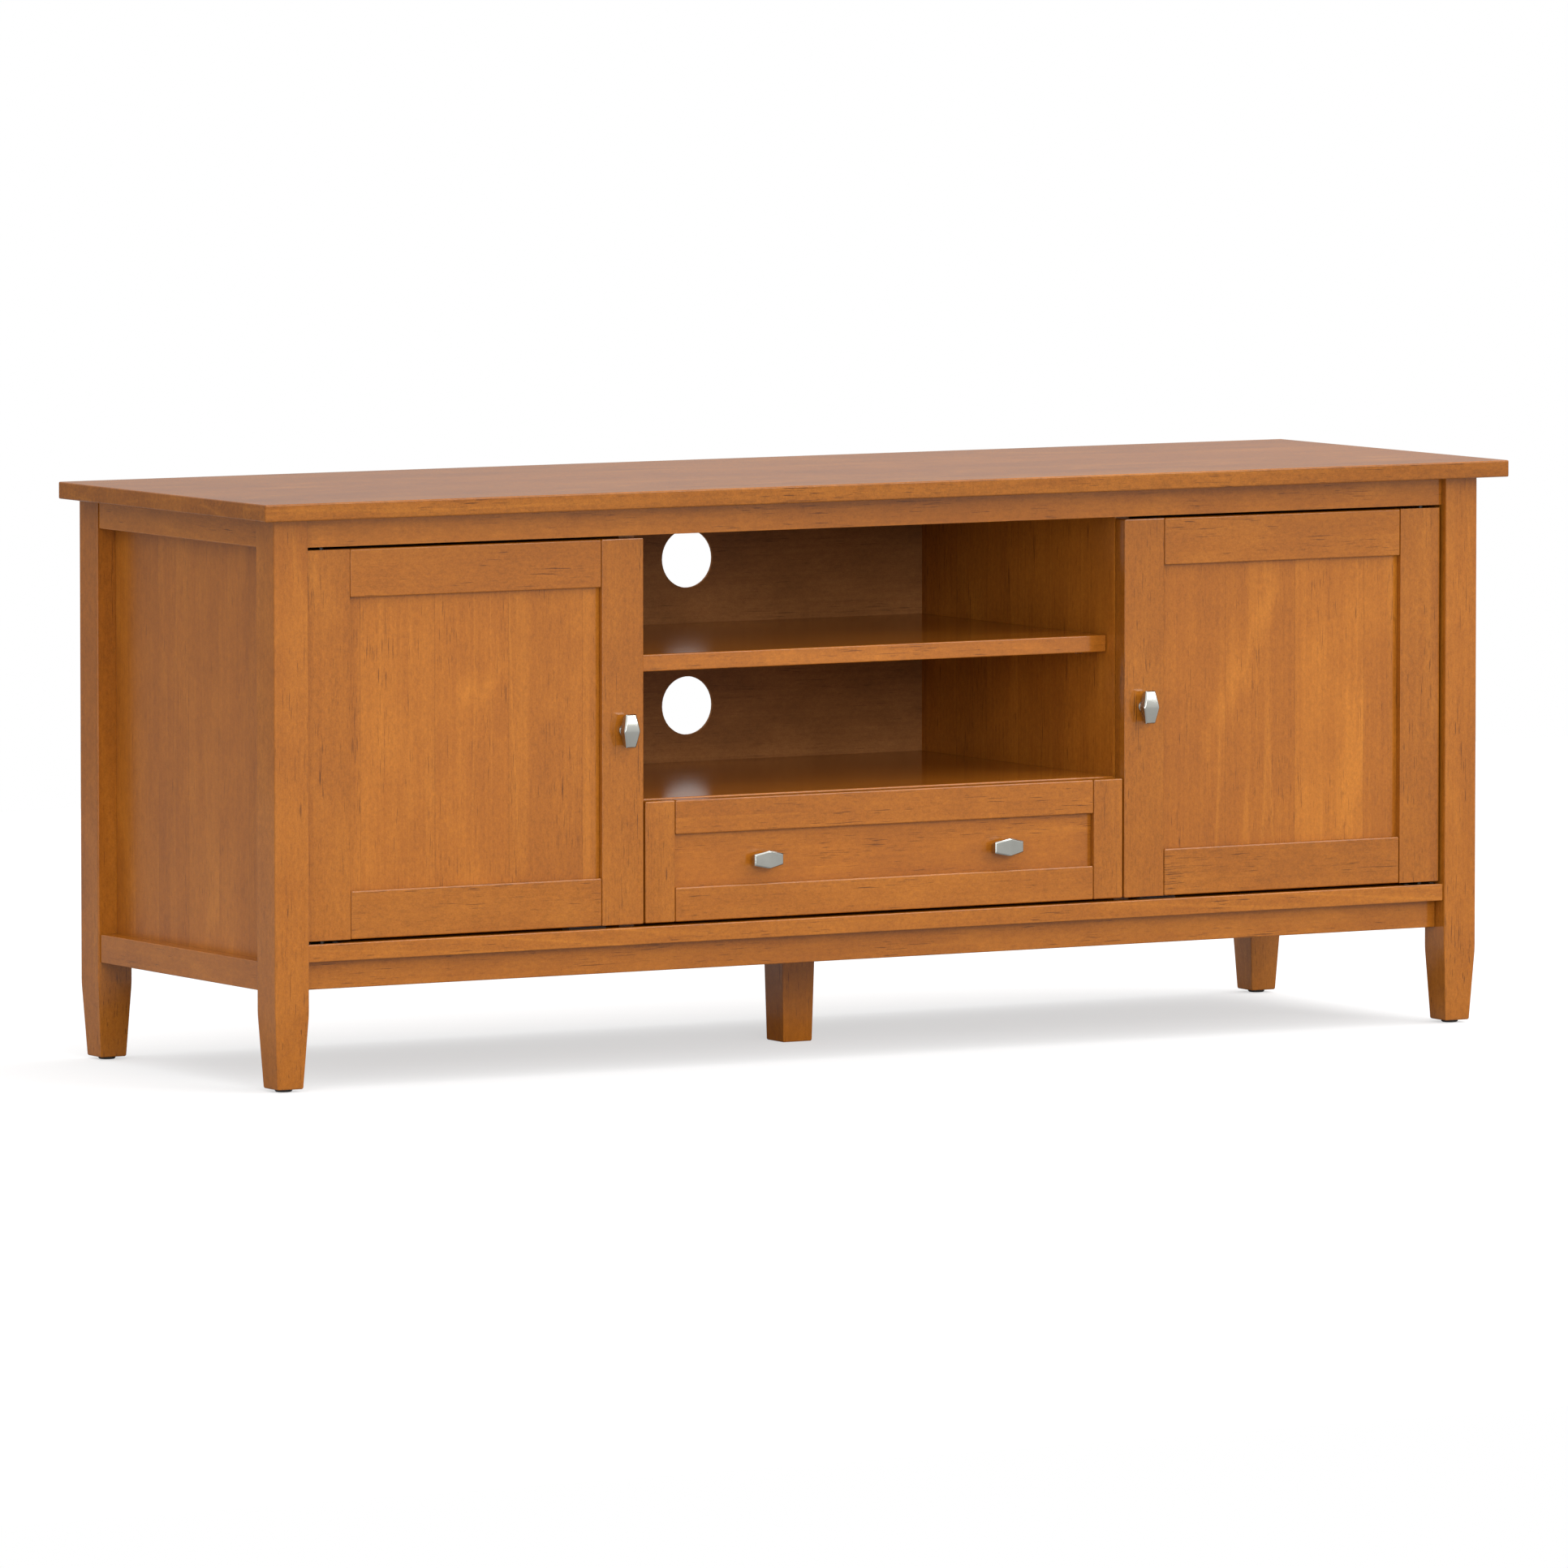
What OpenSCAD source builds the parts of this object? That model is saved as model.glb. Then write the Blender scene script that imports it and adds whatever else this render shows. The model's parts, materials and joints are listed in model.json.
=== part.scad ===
// Media cabinet: two framed doors, a framed drawer and two open niches
// on tapered corner posts. Millimetres, +Z up, front faces -Y.
// Origin: floor level, under the centre of the top.

/* [Overall] */
// Width of the top
top_w = 1524; // [1200:1:1800]
// Depth of the top
top_d = 457; // [380:1:520]
// Height from the floor to the upper face of the top
total_h = 610; // [540:1:760]
// Thickness of the top
top_t = 18; // [16:0.5:28]
// Chamfer on the edges of the top and the posts
edge_ease = 1; // [0.5:0.1:2]

/* [Posts and feet] */
// Side of a square corner post
post_w = 40; // [34:1:60]
// Distance from the top's end to the post
side_overhang = 24; // [10:1:50]
// Distance from the top's front edge to the post
front_overhang = 26; // [24:1:50]
// Distance from the top's back edge to the post
back_overhang = 1; // [0:0.5:20]
// Side of the square at the bottom of a post
foot_w = 30.5; // [24:0.5:34]
// Height above the floor where the taper starts
taper_z = 85; // [60:1:100]
// Height of a glide under a post
glide_h = 3; // [2:0.5:6]
// Radius of a glide
glide_r = 9; // [6:0.5:11]
// Side of the centre leg at its top
mid_leg_w = 41.5; // [34:0.5:60]
// Side of the centre leg at the floor
mid_leg_foot_w = 35.5; // [28:0.5:40]
// Distance of the centre leg behind the middle of the top
mid_leg_y = 7.5; // [0:0.5:20]

/* [Rails and boards] */
// Height of the open space under the skirts
base_clear = 104; // [90:1:160]
// Height of the skirts and lower side rails
skirt_h = 30; // [24:1:50]
// Height of the apron and upper rails
apron_h = 30; // [24:1:50]
// Thickness of aprons, skirts and rails
rail_t = 20; // [16:1:25]
// Thickness of boards, shelves and dividers
board_t = 18; // [15:1:22]
// Setback of the apron, doors and drawer from the post front
front_setback = 8; // [4:1:15]
// Setback of the bottom board from the post front
board_setback = 3; // [1:0.5:8]
// Setback of the skirt from the post front
skirt_setback = 18; // [10:1:30]
// Setback of the side rails from the post side
side_rail_setback = 2; // [0.5:0.5:6]
// Recess of the side panel from the post side
panel_recess = 22; // [22:0.5:25]
// Thickness of the back panel
back_t = 4; // [3:0.5:6]

/* [Bays] */
// Clear width of the middle bay
niche_w = 591; // [450:1:700]
// Clear height of the drawer bay
drawer_bay_h = 114; // [100:1:180]
// Clear height of the lower niche
lower_niche_h = 131.9; // [100:0.1:170]
// Setback of the niche shelf behind the divider front
shelf_setback = 15; // [5:1:40]
// Gap at each end of a loose shelf
shelf_gap = 0.8; // [0.5:0.1:2]
// Height of the cabinet shelves above the bottom board
cabinet_shelf_h = 188; // [120:1:250]
// Diameter of a cable hole
cable_hole_d = 63; // [40:1:80]
// Height of the lower cable hole above the niche floor
lower_hole_rise = 60.5; // [45:0.5:80]
// Height of the upper cable hole above the niche shelf
upper_hole_rise = 69.6; // [45:0.1:85]

/* [Doors and drawer] */
// Thickness of door and drawer frames
front_t = 20; // [18:1:24]
// Gap around a door
door_gap = 3; // [2.5:0.5:4]
// Gap between the drawer front and each door
drawer_gap = 2; // [1.5:0.5:4]
// Width of door stiles and rails
door_frame_w = 50; // [40:1:70]
// Width of drawer front stiles and rails
drawer_frame_w = 36; // [25:1:40]
// Recess of a framed panel behind the frame face
frame_recess = 7.5; // [5:0.5:10]
// Thickness of a framed panel
inset_t = 6; // [4:0.5:8]
// Depth of the grooves that hold a framed panel
groove_d = 8; // [6:0.5:10]
// Clear space behind the drawer box and its runners
drawer_back_space = 48; // [20:2:120]
// Thickness of the drawer sides and back
drawer_side_t = 12; // [10:1:15]
// Height of the drawer sides
drawer_side_h = 86; // [60:1:95]
// Thickness of the drawer bottom
drawer_bottom_t = 5; // [4:0.5:6]

/* [Fittings] */
// Distance of a door pivot from the door's outer edge
pivot_in = 20; // [18:0.5:25]
// Distance of a door pivot behind the door's face
pivot_back = 8; // [7:0.5:9]
// Radius of a pivot pin
pivot_r = 3; // [2.5:0.1:4]
// Radial clearance of a pin in its hole
pin_fit = 0.05; // [0.02:0.01:0.1]
// Length of a knob
knob_l = 35.2; // [25:1:50]
// Width of a knob at its middle
knob_w = 19.6; // [14:0.2:25]
// Width of a knob at its ends
knob_end_w = 12; // [8:0.5:15]
// Distance a knob stands out from the face it is fixed to
knob_out = 18; // [17:0.5:23]
// Distance of a door knob from the door's inner edge
door_knob_in = 23.6; // [20:0.1:30]
// Height of a door knob above the middle of the door
door_knob_rise = 1.7; // [0:0.1:60]
// Distance of a drawer knob from the middle
drawer_knob_x = 147.8; // [100:0.1:220]
// Distance of a drawer knob below the middle of the drawer front
drawer_knob_drop = 2.7; // [0:0.1:10]
// Width of the space a drawer runner takes
runner_w = 12.7; // [12.5:0.1:13]
// Height of a drawer runner
runner_h = 42; // [38:1:46]
// Sheet thickness of a drawer runner
runner_sheet = 1.2; // [1:0.1:1.5]
// Distance of a door catch from the divider
catch_from_divider = 15; // [5:1:60]

/* [Hidden] */
$fn = 48;
eps = 0.01;
over = 5;

// Posts
post_x = top_w / 2 - side_overhang;
post_front = front_overhang - top_d / 2;
post_back = top_d / 2 - back_overhang;
post_taper = (post_w - foot_w) / 2;
inner_x = post_x - post_w;
mid_leg_taper = (mid_leg_w - mid_leg_foot_w) / 2;
glide_nail_r = 1.5;
glide_nail_l = 15;

// Levels
under_top = total_h - top_t;
board_z = base_clear + skirt_h;
board_top = board_z + board_t;
apron_z = under_top - apron_h;
deck_z = board_top + drawer_bay_h;
deck_top = deck_z + board_t;
shelf_z = deck_top + lower_niche_h;
cabinet_shelf_z = board_top + cabinet_shelf_h;

// Depths
face_y = post_front + front_setback;
face_back = face_y + front_t;
divider_gap = 1;
divider_front = face_back + divider_gap;
back_y = post_back - back_t;
back_rail_set = 2;
shelf_back_gap = 2;
cabinet_shelf_setback = 24;

// Dividers and cabinets
niche_x = niche_w / 2;
divider_x = niche_x + board_t;

// Doors
door_w = inner_x - door_gap - niche_x;
door_z = board_top + door_gap;
door_h = apron_z - door_gap - door_z;
door_out = inner_x - door_gap;
axis_x = door_out - pivot_in;
axis_y = face_y + pivot_back;

// Drawer front
deck_lip = 1.2;
drawer_w = niche_w - 2 * drawer_gap;
drawer_front_h = deck_top - deck_lip - door_z;
panel_play = 0.5;
panel_front = face_y + frame_recess;
panel_back = panel_front + inset_t;

// Drawer box
drawer_l = back_y - face_back - drawer_back_space;
box_x = niche_x - runner_w;
box_z = board_top + (drawer_bay_h - drawer_side_h) / 2;
box_bottom_z = box_z + 6;
box_groove = 5;

// Runners: three nested channels on each side
runner_z = box_z + drawer_side_h / 2;
runner_y = divider_front + 2;
ball_gap = 1.8;
mid_h = runner_h - 2 * (runner_sheet + ball_gap);
in_h = mid_h - 2 * (runner_sheet + ball_gap);
outer_reach = runner_w * 0.68;
mid_reach = runner_w * 0.62;
in_reach = runner_w * 0.53;

// Pivot plates
plate_l = 44;
plate_w = 14;
plate_t = 2;
plate_end = 1;
pivot_l = 10;
pivot_end_play = 0.5;

// Shelf pins
pin_r = 2.5;
pin_in = 9;
pin_out = 9;
pin_from_end = 50;
pin_end_play = 0.5;

// Catches and strikes
catch_l = 45;
catch_d = 15;
catch_h = 13;
strike_gap = 0.3;
strike_t = 1.2;
strike_l = 34;
strike_h = 9;
catch_x = divider_x + catch_from_divider + catch_l / 2;
catch_y = face_back + strike_t + strike_gap;

// Knobs
rim_t = 9;
ridge_h = 2.5;
neck_r = 5.5;
neck_base_r = 6.5;
screw_r = 2;
screw_bite = 8;
screw_clear = 0.3;
screw_head_r = 4;
screw_head_h = 2.2;
tap_fit = 0.05;

// Small screws
wood_screw_r = 1.5;
wood_screw_l = 14;
wood_head_r = 3.2;
wood_head_h = 1.6;
back_screws_n = 9;
small_sides = 12;
back_screw_in = 48;
plate_screw_in = 6;

// Colours
pine = [0.69, 0.45, 0.24];
pine_dark = [0.45, 0.28, 0.14];
pale_wood = [0.82, 0.7, 0.52];
nickel = [0.66, 0.66, 0.63];
zinc = [0.72, 0.74, 0.76];
oxide = [0.12, 0.11, 0.1];
dark_plastic = [0.15, 0.14, 0.13];
grey_plastic = [0.45, 0.45, 0.46];

// ---- shared shapes ----

// Box between two opposite corners
module span(a, b) {
  translate(a) cube([b[0] - a[0], b[1] - a[1], b[2] - a[2]]);
}

// Rectangle centred on the origin with chamfered corners
module eased_rect(w, h, c) {
  polygon([
    [-w / 2 + c, -h / 2], [w / 2 - c, -h / 2], [w / 2, -h / 2 + c], [w / 2, h / 2 - c],
    [w / 2 - c, h / 2], [-w / 2 + c, h / 2], [-w / 2, h / 2 - c], [-w / 2, -h / 2 + c]
  ]);
}

// Vertical wooden leg: straight above bend_z, tapered to foot below it
module tapered_leg(w, foot, bottom, bend_z, height, c) {
  f = foot / 2;
  h = w / 2;
  profile = [
    [-f + c, bottom], [f - c, bottom], [f, bottom + c], [h, bend_z],
    [h, height], [-h, height], [-h, bend_z], [-f, bottom + c]
  ];
  intersection() {
    translate([0, h + over, 0]) rotate([90, 0, 0]) linear_extrude(w + 2 * over) polygon(profile);
    rotate([0, 0, 90]) translate([0, h + over, 0]) rotate([90, 0, 0])
      linear_extrude(w + 2 * over) polygon(profile);
    translate([0, 0, bottom - over]) linear_extrude(height - bottom + 2 * over)
      eased_rect(w, w, c);
  }
}

// Corner post with its outer faces at x and at y
module post(x, y) {
  translate([x, y, 0]) tapered_leg(post_w, foot_w, glide_h, taper_z, under_top, edge_ease);
}

// Pan head screw pointing along +Z, head under the origin
module pan_screw(r, l, head_r, head_h) {
  rotate_extrude() polygon([
    [0, -head_h], [head_r * 0.6, -head_h], [head_r, -head_h * 0.4], [head_r, 0],
    [r, 0], [r, l - r], [0, l]
  ]);
}

// Upright frame member with a groove along its inner edge (towards +X)
module stile(w, h, groove) {
  difference() {
    cube([w, front_t, h]);
    translate([w - groove, frame_recess, -over]) cube([groove + over, inset_t, h + 2 * over]);
  }
}

// Level frame member with tenons at its ends and a groove in its upper edge
module rail(l, w, groove) {
  difference() {
    union() {
      cube([l, front_t, w]);
      translate([-groove, frame_recess, 0]) cube([l + 2 * groove, inset_t, w]);
    }
    translate([-groove - over, frame_recess, w - groove])
      cube([l + 2 * (groove + over), inset_t, groove + over]);
  }
}

// Flat panel that sits in the grooves of a frame
module inset(w, h, frame) {
  lap = groove_d - panel_play;
  translate([frame - lap, frame_recess, frame - lap])
    cube([w - 2 * (frame - lap), inset_t, h - 2 * (frame - lap)]);
}

// Long hexagonal knob, length along Z, standing out towards -Y
module knob() {
  a = knob_l / 2;
  back = rim_t + ridge_h;
  neck = knob_out - back;
  difference() {
    union() {
      intersection() {
        translate([0, -neck, 0]) rotate([90, 0, 0]) linear_extrude(back) polygon([
          [-knob_end_w / 2, -a], [knob_end_w / 2, -a], [knob_w / 2, 0],
          [knob_end_w / 2, a], [-knob_end_w / 2, a], [-knob_w / 2, 0]
        ]);
        translate([-knob_w, 0, 0]) rotate([90, 0, 90]) linear_extrude(2 * knob_w) polygon([
          [-neck, -a], [-neck - rim_t, -a], [-knob_out, 0], [-neck - rim_t, a], [-neck, a]
        ]);
      }
      rotate([90, 0, 0]) rotate_extrude() polygon([
        [0, 0], [neck_base_r, 0], [neck_base_r, 1], [neck_r, 2.5],
        [neck_r, neck - 1.5], [neck_base_r, neck + eps], [0, neck + eps]
      ]);
    }
    rotate([90, 0, 0]) translate([0, 0, -over])
      cylinder(r = screw_r + tap_fit, h = screw_bite + over);
  }
}

// Screw that holds a knob through a thickness t, head behind it
module knob_screw(t) {
  translate([0, t, 0]) rotate([90, 0, 0])
    pan_screw(screw_r, t + screw_bite - 0.5, screw_head_r, screw_head_h);
}

// Shelf pin pointing along +X, its wall end in a hole
module shelf_pin() {
  rotate([0, 90, 0]) translate([0, 0, pin_end_play - pin_in])
    cylinder(r = pin_r, h = pin_in - pin_end_play + pin_out);
}

module pin_hole() {
  rotate([0, 90, 0]) translate([0, 0, -pin_in]) cylinder(r = pin_r + pin_fit, h = pin_in + eps);
}

// Heights and depths of the pins under a shelf
function pin_ys(front, back) = [front + pin_from_end, back - pin_from_end];

niche_pin_ys = pin_ys(divider_front + shelf_setback, back_y - shelf_back_gap);
cabinet_pin_ys = pin_ys(divider_front + cabinet_shelf_setback, back_y - shelf_back_gap);
niche_pin_z = shelf_z - pin_r;
cabinet_pin_z = cabinet_shelf_z - pin_r;

// C-shaped runner channel, open towards -X, web at x = 0
module channel(h, reach) {
  translate([0, runner_y + drawer_l, 0]) rotate([90, 0, 0]) linear_extrude(drawer_l) polygon([
    [0, -h / 2], [0, h / 2], [-reach, h / 2], [-reach, h / 2 - runner_sheet],
    [-runner_sheet, h / 2 - runner_sheet], [-runner_sheet, -h / 2 + runner_sheet],
    [-reach, -h / 2 + runner_sheet], [-reach, -h / 2]
  ]);
}

// Same shape on the left and on the right
module both_sides() {
  children();
  mirror([1, 0, 0]) children();
}

// ---- carcass ----

module top_panel() {
  color(pine) translate([0, 0, under_top + top_t / 2]) intersection() {
    translate([0, 0, -top_t / 2]) linear_extrude(top_t) eased_rect(top_w, top_d, edge_ease);
    translate([0, top_d / 2, 0]) rotate([90, 0, 0]) linear_extrude(top_d)
      eased_rect(top_w, top_t, edge_ease);
    translate([-top_w / 2, 0, 0]) rotate([90, 0, 90]) linear_extrude(top_w)
      eased_rect(top_d, top_t, edge_ease);
  }
}

post_cx = post_x - post_w / 2;
post_front_cy = post_front + post_w / 2;
post_back_cy = post_back - post_w / 2;

module post_front_left() {
  color(pine) post(-post_cx, post_front_cy);
}

module post_front_right() {
  color(pine) post(post_cx, post_front_cy);
}

module post_back_left() {
  color(pine) post(-post_cx, post_back_cy);
}

module post_back_right() {
  color(pine) post(post_cx, post_back_cy);
}

module leg_glides() {
  color(dark_plastic) both_sides() for (y = [post_front_cy, post_back_cy]) {
    translate([post_cx, y, 0]) rotate_extrude() polygon([
      [0, 0], [glide_r - 1, 0], [glide_r, 1], [glide_r, glide_h],
      [glide_nail_r, glide_h], [glide_nail_r, glide_nail_l], [0, glide_nail_l + glide_nail_r]
    ]);
  }
}

module centre_leg() {
  color(pine) translate([0, mid_leg_y, 0])
    tapered_leg(mid_leg_w, mid_leg_foot_w, 0, board_z - 1, board_z, edge_ease);
}

// Pocket for a pivot plate between two levels
module plate_pocket(low, high) {
  both_sides() span([inner_x - plate_end - plate_l, axis_y - plate_w / 2, low],
    [inner_x - plate_end, axis_y + plate_w / 2, high]);
}

module front_apron() {
  color(pine) difference() {
    span([-inner_x, face_y, apron_z], [inner_x, face_y + rail_t, under_top]);
    plate_pocket(apron_z - over, apron_z + plate_t);
  }
}

module back_top_rail() {
  color(pine) span([-inner_x, back_y - rail_t, apron_z], [inner_x, back_y, under_top]);
}

// Side rail on the right, from z up by h
module side_rail(z, h) {
  x = post_x - side_rail_setback;
  span([post_x - panel_recess, post_front + post_w, z], [x, post_back - post_w, z + h]);
}

module side_top_rail_left() {
  color(pine) mirror([1, 0, 0]) side_rail(apron_z, apron_h);
}

module side_top_rail_right() {
  color(pine) side_rail(apron_z, apron_h);
}

module side_bottom_rail_left() {
  color(pine) mirror([1, 0, 0]) side_rail(base_clear, skirt_h);
}

module side_bottom_rail_right() {
  color(pine) side_rail(base_clear, skirt_h);
}

module front_skirt() {
  color(pine) span([-inner_x, post_front + skirt_setback, base_clear],
    [inner_x, post_front + skirt_setback + rail_t, board_z]);
}

module back_skirt() {
  color(pine) span([-inner_x, post_back - back_rail_set - rail_t, base_clear],
    [inner_x, post_back - back_rail_set, board_z]);
}

// Side panel on the right, with holes for the shelf pins
module side_panel() {
  difference() {
    span([inner_x, post_front + post_w, base_clear],
      [post_x - panel_recess, post_back - post_w, under_top]);
    for (y = cabinet_pin_ys) translate([inner_x, y, cabinet_pin_z])
      mirror([1, 0, 0]) pin_hole();
  }
}

module side_panel_left() {
  color(pine) mirror([1, 0, 0]) side_panel();
}

module side_panel_right() {
  color(pine) side_panel();
}

module bottom_board() {
  color(pine) difference() {
    span([-inner_x, post_front + board_setback, board_z], [inner_x, back_y, board_top]);
    plate_pocket(board_top - plate_t, board_top + over);
  }
}

// Divider on the right, notched for the back rail
module divider() {
  difference() {
    span([niche_x, divider_front, board_top], [divider_x, back_y, under_top]);
    span([niche_x - over, back_y - rail_t, apron_z], [divider_x + over, back_y + over,
      under_top + over]);
    for (y = niche_pin_ys) translate([niche_x, y, niche_pin_z]) mirror([1, 0, 0]) pin_hole();
    for (y = cabinet_pin_ys) translate([divider_x, y, cabinet_pin_z]) pin_hole();
  }
}

module divider_left() {
  color(pine) mirror([1, 0, 0]) divider();
}

module divider_right() {
  color(pine) divider();
}

module drawer_deck() {
  color(pine) span([-niche_x, divider_front, deck_z], [niche_x, back_y, deck_top]);
}

module niche_shelf() {
  x = niche_x - shelf_gap;
  color(pine) span([-x, divider_front + shelf_setback, shelf_z],
    [x, back_y - shelf_back_gap, shelf_z + board_t]);
}

module cabinet_shelf() {
  span([divider_x + shelf_gap, divider_front + cabinet_shelf_setback, cabinet_shelf_z],
    [inner_x - shelf_gap, back_y - shelf_back_gap, cabinet_shelf_z + board_t]);
}

module cabinet_shelf_left() {
  color(pine) mirror([1, 0, 0]) cabinet_shelf();
}

module cabinet_shelf_right() {
  color(pine) cabinet_shelf();
}

module shelf_pins() {
  color(zinc) both_sides() {
    for (y = niche_pin_ys) translate([niche_x, y, niche_pin_z]) mirror([1, 0, 0]) shelf_pin();
    for (y = cabinet_pin_ys) {
      translate([divider_x, y, cabinet_pin_z]) shelf_pin();
      translate([inner_x, y, cabinet_pin_z]) mirror([1, 0, 0]) shelf_pin();
    }
  }
}

module cable_hole(z) {
  translate([0, back_y + back_t + over, z]) rotate([90, 0, 0])
    cylinder(r = cable_hole_d / 2, h = back_t + 2 * over, $fn = 96);
}

module back_panel() {
  color(pine_dark) difference() {
    span([-inner_x, back_y, board_z], [inner_x, post_back, under_top]);
    cable_hole(deck_top + lower_hole_rise);
    cable_hole(shelf_z + board_t + upper_hole_rise);
  }
}

// ---- fittings on the carcass ----

module runner_outer() {
  color(zinc) both_sides() translate([niche_x, 0, runner_z]) channel(runner_h, outer_reach);
}

// Pivot plate let into a board whose face is at z = 0, pin pointing up
module pivot_plate() {
  span([inner_x - plate_end - plate_l, axis_y - plate_w / 2, -plate_t],
    [inner_x - plate_end, axis_y + plate_w / 2, 0]);
  translate([axis_x, axis_y, -plate_t / 2])
    cylinder(r = pivot_r, h = plate_t / 2 + door_gap + pivot_l);
}

module pivot_plates() {
  color(oxide) both_sides() {
    translate([0, 0, board_top]) pivot_plate();
    translate([0, 0, apron_z]) mirror([0, 0, 1]) pivot_plate();
  }
}

module door_catches() {
  color(grey_plastic) both_sides() span([catch_x - catch_l / 2, catch_y, board_top],
    [catch_x + catch_l / 2, catch_y + catch_d, board_top + catch_h]);
}

// Pan head screw through a catch into the bottom board, pointing down
module catch_screw() {
  mirror([0, 0, 1]) pan_screw(wood_screw_r, catch_h + wood_screw_l - 4, wood_head_r, wood_head_h);
}

// Countersunk screw with its head level with z = 0, pointing down
module flush_screw() {
  rotate_extrude($fn = small_sides) polygon([
    [0, 0], [wood_head_r, 0], [wood_screw_r, -plate_t], [wood_screw_r, 2 - wood_screw_l],
    [0, -wood_screw_l]
  ]);
}

// Countersunk screw in the back panel
module back_screw(x, z) {
  translate([x, post_back, z]) rotate([-90, 0, 0]) flush_screw();
}

module carcass_screws() {
  color(zinc) {
    both_sides() {
      for (x = [-1, 1]) translate([catch_x + x * catch_l / 3, catch_y + catch_d / 2,
        board_top + catch_h]) catch_screw();
      for (x = [plate_screw_in, plate_l - plate_screw_in])
        translate([inner_x - plate_end - x, axis_y, 0]) {
          translate([0, 0, board_top]) flush_screw();
          translate([0, 0, apron_z]) mirror([0, 0, 1]) flush_screw();
        }
      for (z = [0.25, 0.5, 0.75])
        back_screw(niche_x + board_t / 2, board_top + z * (apron_z - board_top));
    }
    for (i = [0 : back_screws_n - 1]) {
      x = -inner_x + back_screw_in + i * 2 * (inner_x - back_screw_in) / (back_screws_n - 1);
      back_screw(x, apron_z + apron_h / 2);
      back_screw(x, board_z + board_t / 2);
    }
    for (x = [-1, 1]) translate([x * mid_leg_w / 4, mid_leg_y, board_top]) mirror([0, 0, 1])
      pan_screw(screw_r, board_t + skirt_h, screw_head_r, screw_head_h);
  }
}

module runner_middle() {
  x = niche_x - runner_sheet - ball_gap + 0.3;
  color(zinc) both_sides() translate([x, 0, runner_z]) channel(mid_h, mid_reach);
}

// ---- doors, drawn on the right at the outer edge and mirrored for the left ----

// Moves a frame drawn from x = 0 so that it hangs from the right post
module at_right_door() {
  translate([door_out, face_y, door_z]) mirror([1, 0, 0]) children();
}

module hinge_stile() {
  difference() {
    stile(door_frame_w, door_h, groove_d);
    for (z = [-over, door_h - pivot_l - pivot_end_play]) translate([pivot_in, pivot_back, z])
      cylinder(r = pivot_r + pin_fit, h = pivot_l + pivot_end_play + over);
  }
}

module latch_stile() {
  translate([door_w, 0, 0]) mirror([1, 0, 0]) difference() {
    stile(door_frame_w, door_h, groove_d);
    translate([door_knob_in, front_t + over, door_h / 2 + door_knob_rise]) rotate([90, 0, 0])
      cylinder(r = screw_r + screw_clear, h = front_t + 2 * over);
  }
}

module bottom_rail() {
  translate([door_frame_w, 0, 0]) rail(door_w - 2 * door_frame_w, door_frame_w, groove_d);
}

module top_rail() {
  translate([0, 0, door_h]) mirror([0, 0, 1]) bottom_rail();
}

knob_x = niche_x + door_knob_in;
knob_z = door_z + door_h / 2 + door_knob_rise;

module door_knob() {
  translate([knob_x, face_y, knob_z]) knob();
}

module door_strike() {
  span([catch_x - strike_l / 2, face_back, door_z + 1],
    [catch_x + strike_l / 2, face_back + strike_t, door_z + 1 + strike_h]);
}

module door_screws() {
  translate([knob_x, face_y, knob_z]) knob_screw(front_t);
}

module door_left_hinge_stile() {
  color(pine) mirror([1, 0, 0]) at_right_door() hinge_stile();
}

module door_left_latch_stile() {
  color(pine) mirror([1, 0, 0]) at_right_door() latch_stile();
}

module door_left_top_rail() {
  color(pine) mirror([1, 0, 0]) at_right_door() top_rail();
}

module door_left_bottom_rail() {
  color(pine) mirror([1, 0, 0]) at_right_door() bottom_rail();
}

module door_left_panel() {
  color(pine) mirror([1, 0, 0]) at_right_door() inset(door_w, door_h, door_frame_w);
}

module door_left_knob() {
  color(nickel) mirror([1, 0, 0]) door_knob();
}

module door_left_strike() {
  color(zinc) mirror([1, 0, 0]) door_strike();
}

module door_left_screws() {
  color(zinc) mirror([1, 0, 0]) door_screws();
}

module door_right_hinge_stile() {
  color(pine) at_right_door() hinge_stile();
}

module door_right_latch_stile() {
  color(pine) at_right_door() latch_stile();
}

module door_right_top_rail() {
  color(pine) at_right_door() top_rail();
}

module door_right_bottom_rail() {
  color(pine) at_right_door() bottom_rail();
}

module door_right_panel() {
  color(pine) at_right_door() inset(door_w, door_h, door_frame_w);
}

module door_right_knob() {
  color(nickel) door_knob();
}

module door_right_strike() {
  color(zinc) door_strike();
}

module door_right_screws() {
  color(zinc) door_screws();
}

// ---- drawer ----

module at_drawer() {
  translate([-drawer_w / 2, face_y, door_z]) children();
}

module drawer_stile_left() {
  color(pine) at_drawer() stile(drawer_frame_w, drawer_front_h, groove_d);
}

module drawer_stile_right() {
  color(pine) mirror([1, 0, 0]) at_drawer() stile(drawer_frame_w, drawer_front_h, groove_d);
}

module drawer_front_rail() {
  translate([drawer_frame_w, 0, 0]) rail(drawer_w - 2 * drawer_frame_w, drawer_frame_w, groove_d);
}

module drawer_top_rail() {
  color(pine) at_drawer() translate([0, 0, drawer_front_h]) mirror([0, 0, 1]) drawer_front_rail();
}

module drawer_bottom_rail() {
  color(pine) at_drawer() drawer_front_rail();
}

drawer_knob_z = door_z + drawer_front_h / 2 - drawer_knob_drop;

module drawer_panel() {
  color(pine) difference() {
    at_drawer() inset(drawer_w, drawer_front_h, drawer_frame_w);
    both_sides() translate([drawer_knob_x, panel_back + over, drawer_knob_z]) rotate([90, 0, 0])
      cylinder(r = screw_r + screw_clear, h = inset_t + 2 * over);
  }
}

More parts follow.
